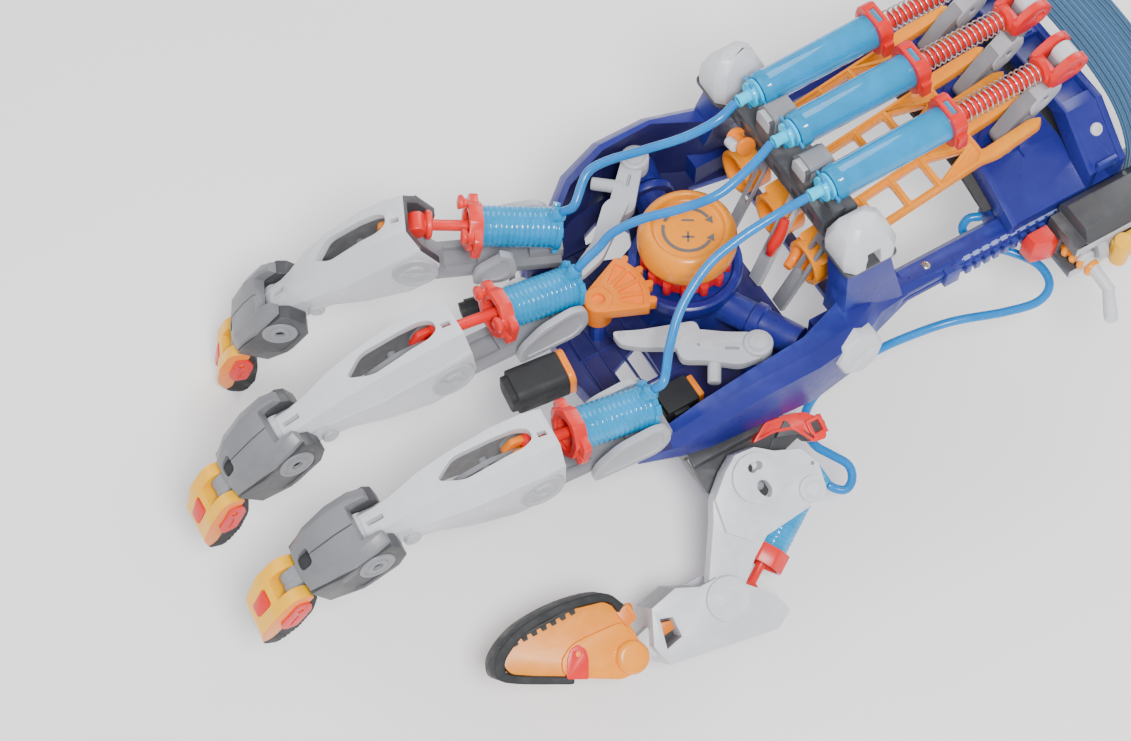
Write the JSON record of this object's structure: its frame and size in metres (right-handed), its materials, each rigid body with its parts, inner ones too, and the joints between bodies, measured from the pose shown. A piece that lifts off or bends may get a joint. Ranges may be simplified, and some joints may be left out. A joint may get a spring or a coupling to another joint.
{
  "type": "hydraulic robot hand",
  "caption": "Wearable hydraulic robot hand kit: forearm frame, master cylinders with springs, tubing, and cylinder-driven jointed fingers and thumb.",
  "frame": {"origin": "centre of the forearm opening at the wrist crossbar, at the mid height of the side rails", "axes": "+X along the forearm away from the fingertips, +Y away from the thumb, +Z out of the back of the hand"},
  "size_m": [0.5018, 0.2842, 0.1883],
  "materials": {
    "frame_blue": "satin moulded plastic",
    "white": "satin moulded plastic",
    "grey": "satin",
    "dark": "satin",
    "black": "matte",
    "red": "glossy",
    "orange": "satin",
    "yellow": "satin",
    "clear": "clear tinted",
    "tube": "glossy flexible tube",
    "steel": "bright wire",
    "strap": "ribbed webbing"
  },
  "bodies": {
    "frame": {"palm_frame": "frame_blue", "crossbar": "dark", "wrist_cap_near": "white", "wrist_cap_far": "white", "saddle": "frame_blue", "arm_pad": "black", "arm_strap": "strap", "spacer_near": "black", "spacer_far": "black", "thumb_bracket": "dark", "cradle_middle": "grey", "finger_cylinder_middle": "clear", "master_cylinder_index": "clear", "spring_index": "steel", "master_cylinder_middle": "clear", "spring_middle": "steel", "master_cylinder_ring": "clear", "spring_ring": "steel", "tube_index": "tube", "tube_middle": "tube", "tube_ring": "tube", "tube_thumb": "tube"},
    "cradle_index": {"cradle_index": "grey", "finger_cylinder_index": "clear"},
    "proximal_index": {"proximal_index": "white"},
    "phalanx_index": {"phalanx_index": "dark"},
    "fingertip_index": {"fingertip_index": "yellow"},
    "finger_rod_index": {"finger_rod_index": "red"},
    "master_rod_index": {"master_rod_index": "red"},
    "lever_index": {"lever_index": "grey"},
    "pull_bar_index": {"pull_bar_index": "orange"},
    "proximal_middle": {"proximal_middle": "white"},
    "phalanx_middle": {"phalanx_middle": "dark"},
    "fingertip_middle": {"fingertip_middle": "yellow"},
    "finger_rod_middle": {"finger_rod_middle": "red"},
    "master_rod_middle": {"master_rod_middle": "red"},
    "lever_middle": {"lever_middle": "grey"},
    "pull_bar_middle": {"pull_bar_middle": "orange"},
    "cradle_ring": {"cradle_ring": "grey", "finger_cylinder_ring": "clear"},
    "proximal_ring": {"proximal_ring": "white"},
    "phalanx_ring": {"phalanx_ring": "dark"},
    "fingertip_ring": {"fingertip_ring": "yellow"},
    "finger_rod_ring": {"finger_rod_ring": "red"},
    "master_rod_ring": {"master_rod_ring": "red"},
    "lever_ring": {"lever_ring": "grey"},
    "pull_bar_ring": {"pull_bar_ring": "orange"},
    "knob": {"knob": "yellow"},
    "gear_sector": {"gear_sector": "orange"},
    "crank_near": {"crank_near": "grey"},
    "crank_far": {"crank_far": "grey"},
    "thumb_metacarpal": {"thumb_metacarpal": "white", "thumb_cylinder": "clear"},
    "thumb_rod": {"thumb_rod": "red"},
    "thumb_proximal": {"thumb_proximal": "white"},
    "thumb_tip": {"thumb_tip": "yellow"},
    "thumb_unit": {"thumb_unit": "dark", "thumb_pin_lever": "white"},
    "thumb_latch": {"thumb_latch": "red"},
    "thumb_trigger": {"thumb_trigger": "yellow"}
  },
  "joints": [
    {"name": "splay_index", "type": "hinge", "parent": "frame", "child": "cradle_index", "pos_m": [-0.11814, -0.06005, 0.004], "axis": [0, 0, 1], "range_deg": [-5.5, 5.5]},
    {"name": "curl_index", "type": "hinge", "parent": "cradle_index", "child": "proximal_index", "pos_m": [-0.176, -0.056, 0.014], "axis": [-0.0698, -0.9976, 0], "range_deg": [0, 55]},
    {"name": "mid_index", "type": "hinge", "parent": "proximal_index", "child": "phalanx_index", "pos_m": [-0.2568, -0.05035, 0.014], "axis": [-0.0698, -0.9976, 0], "range_deg": [0, 37.03]},
    {"name": "end_index", "type": "hinge", "parent": "phalanx_index", "child": "fingertip_index", "pos_m": [-0.29116, -0.04795, -0.00206], "axis": [-0.0698, -0.9976, 0], "range_deg": [0, 24.68]},
    {"name": "finger_rod_slide_index", "type": "slide", "parent": "cradle_index", "child": "finger_rod_index", "axis": [-0.9758, 0.0682, 0.2079], "range_m": [0, 0.01009]},
    {"name": "master_slide_index", "type": "slide", "parent": "frame", "child": "master_rod_index", "axis": [-0.9985, 0, -0.0549], "range_m": [0, 0.01635], "deforming": ["spring_index"]},
    {"name": "lever_turn_index", "type": "hinge", "parent": "frame", "child": "lever_index", "pos_m": [0.1, -0.03, 0.029], "axis": [0, -1, 0], "range_deg": [0, 19.91]},
    {"name": "pull_index", "type": "slide", "parent": "frame", "child": "pull_bar_index", "axis": [-0.9724, 0, -0.2334], "range_m": [0, 0.00509]},
    {"name": "curl_middle", "type": "hinge", "parent": "frame", "child": "proximal_middle", "pos_m": [-0.183, 0.0135, 0.014], "axis": [-0.0262, -0.9997, 0], "range_deg": [-5, 50]},
    {"name": "mid_middle", "type": "hinge", "parent": "proximal_middle", "child": "phalanx_middle", "pos_m": [-0.2636, 0.01561, 0.00624], "axis": [-0.0262, -0.9997, 0], "range_deg": [-3.37, 33.66]},
    {"name": "end_middle", "type": "hinge", "parent": "phalanx_middle", "child": "fingertip_middle", "pos_m": [-0.29433, 0.01641, -0.0161], "axis": [-0.0262, -0.9997, 0], "range_deg": [-2.24, 22.44]},
    {"name": "finger_rod_slide_middle", "type": "slide", "parent": "frame", "child": "finger_rod_middle", "axis": [-0.9778, 0.0256, 0.2079], "range_m": [-0.00092, 0.00917]},
    {"name": "master_slide_middle", "type": "slide", "parent": "frame", "child": "master_rod_middle", "axis": [-0.9985, 0, -0.0549], "range_m": [-0.00149, 0.01486], "deforming": ["spring_middle"]},
    {"name": "lever_turn_middle", "type": "hinge", "parent": "frame", "child": "lever_middle", "pos_m": [0.1, 0, 0.029], "axis": [0, -1, 0], "range_deg": [-1.63, 16.32]},
    {"name": "pull_middle", "type": "slide", "parent": "frame", "child": "pull_bar_middle", "axis": [-0.9724, 0, -0.2334], "range_m": [-0.00046, 0.00463]},
    {"name": "splay_ring", "type": "hinge", "parent": "frame", "child": "cradle_ring", "pos_m": [-0.11118, 0.04704, 0.004], "axis": [0, 0, 1], "range_deg": [-5.5, 5.5]},
    {"name": "curl_ring", "type": "hinge", "parent": "cradle_ring", "child": "proximal_ring", "pos_m": [-0.164, 0.071, 0.014], "axis": [-0.4131, -0.9107, 0], "range_deg": [-33, 22]},
    {"name": "mid_ring", "type": "hinge", "parent": "proximal_ring", "child": "phalanx_ring", "pos_m": [-0.22587, 0.09906, -0.03012], "axis": [-0.4131, -0.9107, 0], "range_deg": [-22.22, 14.81]},
    {"name": "end_ring", "type": "hinge", "parent": "phalanx_ring", "child": "fingertip_ring", "pos_m": [-0.24547, 0.10795, -0.06143], "axis": [-0.4131, -0.9107, 0], "range_deg": [-14.81, 9.87]},
    {"name": "finger_rod_slide_ring", "type": "slide", "parent": "cradle_ring", "child": "finger_rod_ring", "axis": [-0.8908, 0.4041, 0.2079], "range_m": [-0.00605, 0.00403]},
    {"name": "master_slide_ring", "type": "slide", "parent": "frame", "child": "master_rod_ring", "axis": [-0.9985, 0, -0.0549], "range_m": [-0.00981, 0.00654], "deforming": ["spring_ring"]},
    {"name": "lever_turn_ring", "type": "hinge", "parent": "frame", "child": "lever_ring", "pos_m": [0.1, 0.0295, 0.029], "axis": [0, -1, 0], "range_deg": [-11.95, 7.97]},
    {"name": "pull_ring", "type": "slide", "parent": "frame", "child": "pull_bar_ring", "axis": [-0.9724, 0, -0.2334], "range_m": [-0.00305, 0.00204]},
    {"name": "knob_turn", "type": "hinge", "parent": "frame", "child": "knob", "pos_m": [-0.055, 0.002, 0.02], "axis": [0, 0, 1], "range_deg": [-18, 18]},
    {"name": "sector_turn", "type": "hinge", "parent": "frame", "child": "gear_sector", "pos_m": [-0.104, 0.001, 0.007], "axis": [0, 0, 1], "range_deg": [-15, 15]},
    {"name": "crank_near_turn", "type": "hinge", "parent": "frame", "child": "crank_near", "pos_m": [-0.051, -0.055, 0.003], "axis": [0, 0, 1], "range_deg": [-6, 6]},
    {"name": "crank_far_turn", "type": "hinge", "parent": "frame", "child": "crank_far", "pos_m": [-0.0485, 0.059, 0.009], "axis": [0, 0, 1], "range_deg": [-6, 6]},
    {"name": "thumb_swing", "type": "hinge", "parent": "frame", "child": "thumb_metacarpal", "pos_m": [-0.0802, -0.0975, -0.03], "axis": [0, -0.5, 0.866], "range_deg": [-10, 2]},
    {"name": "thumb_curl", "type": "hinge", "parent": "thumb_metacarpal", "child": "thumb_proximal", "pos_m": [-0.1182, -0.13474, -0.0515], "axis": [0, 0.5, -0.866], "range_deg": [-6, 18]},
    {"name": "thumb_end", "type": "hinge", "parent": "thumb_proximal", "child": "thumb_tip", "pos_m": [-0.1702, -0.1369, -0.05275], "axis": [0, 0.5, -0.866], "range_deg": [-5, 14.6]},
    {"name": "thumb_rod_slide", "type": "slide", "parent": "thumb_metacarpal", "child": "thumb_rod", "axis": [-0.832, -0.4804, -0.2774], "range_m": [-0.0016, 0.0045]},
    {"name": "thumb_unit_slide", "type": "slide", "parent": "frame", "child": "thumb_unit", "axis": [1, 0, 0], "range_m": [-0.0054, 0.0108]},
    {"name": "latch_press", "type": "slide", "parent": "thumb_unit", "child": "thumb_latch", "axis": [0, -1, 0], "range_m": [0, 0.0025], "stiffness_N_per_m": 250},
    {"name": "trigger_turn", "type": "hinge", "parent": "thumb_unit", "child": "thumb_trigger", "pos_m": [0.128, -0.0974, 0.001], "axis": [0, 0, 1], "range_deg": [-2.6, 7.4]}
  ],
  "couplings": [
    {"joint": "mid_index", "follows": "curl_index", "ratio": 0.66},
    {"joint": "end_index", "follows": "curl_index", "ratio": 0.44},
    {"joint": "finger_rod_slide_index", "follows": "curl_index", "m_per_rad": 0.0103},
    {"joint": "master_slide_index", "follows": "curl_index", "m_per_rad": 0.0167},
    {"joint": "lever_turn_index", "follows": "curl_index", "ratio": 0.355},
    {"joint": "pull_index", "follows": "curl_index", "m_per_rad": 0.0052},
    {"joint": "mid_middle", "follows": "curl_middle", "ratio": 0.66},
    {"joint": "end_middle", "follows": "curl_middle", "ratio": 0.44},
    {"joint": "finger_rod_slide_middle", "follows": "curl_middle", "m_per_rad": 0.0103},
    {"joint": "master_slide_middle", "follows": "curl_middle", "m_per_rad": 0.0167},
    {"joint": "lever_turn_middle", "follows": "curl_middle", "ratio": 0.32},
    {"joint": "pull_middle", "follows": "curl_middle", "m_per_rad": 0.0052},
    {"joint": "mid_ring", "follows": "curl_ring", "ratio": 0.66},
    {"joint": "end_ring", "follows": "curl_ring", "ratio": 0.44},
    {"joint": "finger_rod_slide_ring", "follows": "curl_ring", "m_per_rad": 0.0103},
    {"joint": "master_slide_ring", "follows": "curl_ring", "m_per_rad": 0.0167},
    {"joint": "lever_turn_ring", "follows": "curl_ring", "ratio": 0.355},
    {"joint": "pull_ring", "follows": "curl_ring", "m_per_rad": 0.0052},
    {"joint": "sector_turn", "follows": "knob_turn", "ratio": -0.8},
    {"joint": "crank_near_turn", "follows": "knob_turn", "ratio": 0.3},
    {"joint": "crank_far_turn", "follows": "knob_turn", "ratio": -0.3},
    {"joint": "splay_index", "follows": "knob_turn", "ratio": 0.28},
    {"joint": "splay_ring", "follows": "knob_turn", "ratio": -0.28},
    {"joint": "thumb_end", "follows": "thumb_curl", "ratio": 0.8},
    {"joint": "thumb_rod_slide", "follows": "thumb_curl", "m_per_rad": 0.014},
    {"joint": "trigger_turn", "follows": "thumb_curl", "ratio": 0.4}
  ]
}
